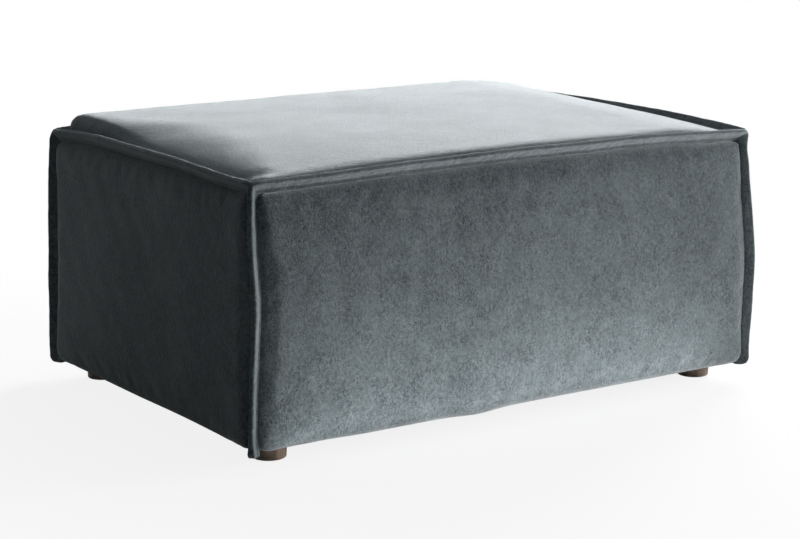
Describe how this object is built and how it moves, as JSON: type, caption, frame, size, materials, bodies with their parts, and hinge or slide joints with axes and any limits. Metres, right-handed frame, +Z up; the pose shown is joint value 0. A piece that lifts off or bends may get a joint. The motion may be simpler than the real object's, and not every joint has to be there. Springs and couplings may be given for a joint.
{
  "type": "ottoman",
  "caption": "Low rectangular upholstered ottoman with a crowned seat, stand-up flanged seams and short round wooden feet.",
  "frame": {"origin": "on the floor, at the centre of the footprint", "axes": "+X along the long side, the long front face looks to -Y, +Z up"},
  "size_m": [0.9102, 0.6372, 0.4299],
  "materials": {
    "velvet": "matte",
    "foam": "matte",
    "felt": "matte",
    "lining": "matte",
    "glide_felt": "matte",
    "softwood": "raw",
    "beech": "raw",
    "hardboard": "smooth",
    "dark_wood": "satin",
    "spring_steel": "satin",
    "nail_steel": "bright"
  },
  "bodies": {
    "root": {"back_cover": "velvet", "bottom_rail_back": "softwood", "bottom_rail_front": "softwood", "bottom_rail_left": "softwood", "bottom_rail_right": "softwood", "centre_rail": "softwood", "clip_nails": "nail_steel", "corner_flange_back_left": "velvet", "corner_flange_back_right": "velvet", "corner_flange_front_left": "velvet", "corner_flange_front_right": "velvet", "dowels": "beech", "dust_cover": "lining", "dust_cover_staples": "nail_steel", "foam_core": "foam", "foam_topper": "foam", "foot_back_left": "dark_wood", "foot_back_right": "dark_wood", "foot_front_left": "dark_wood", "foot_front_right": "dark_wood", "foot_glides": "glide_felt", "foot_studs": "nail_steel", "front_cover": "velvet", "insulator_felt": "felt", "left_cover": "velvet", "panel_nails": "nail_steel", "post_back_left": "softwood", "post_back_right": "softwood", "post_front_left": "softwood", "post_front_right": "softwood", "right_cover": "velvet", "seat_spring_1": "spring_steel", "seat_spring_2": "spring_steel", "seat_spring_3": "spring_steel", "seat_spring_4": "spring_steel", "seat_spring_5": "spring_steel", "seat_spring_6": "spring_steel", "side_board_back": "hardboard", "side_board_front": "hardboard", "side_board_left": "hardboard", "side_board_right": "hardboard", "side_pad_back": "foam", "side_pad_front": "foam", "side_pad_left": "foam", "side_pad_right": "foam", "spring_clips": "nail_steel", "threaded_inserts": "nail_steel", "top_cover": "velvet", "top_flange_back": "velvet", "top_flange_front": "velvet", "top_flange_left": "velvet", "top_flange_right": "velvet", "top_rail_back": "softwood", "top_rail_front": "softwood", "top_rail_left": "softwood", "top_rail_right": "softwood"}
  },
  "joints": []
}
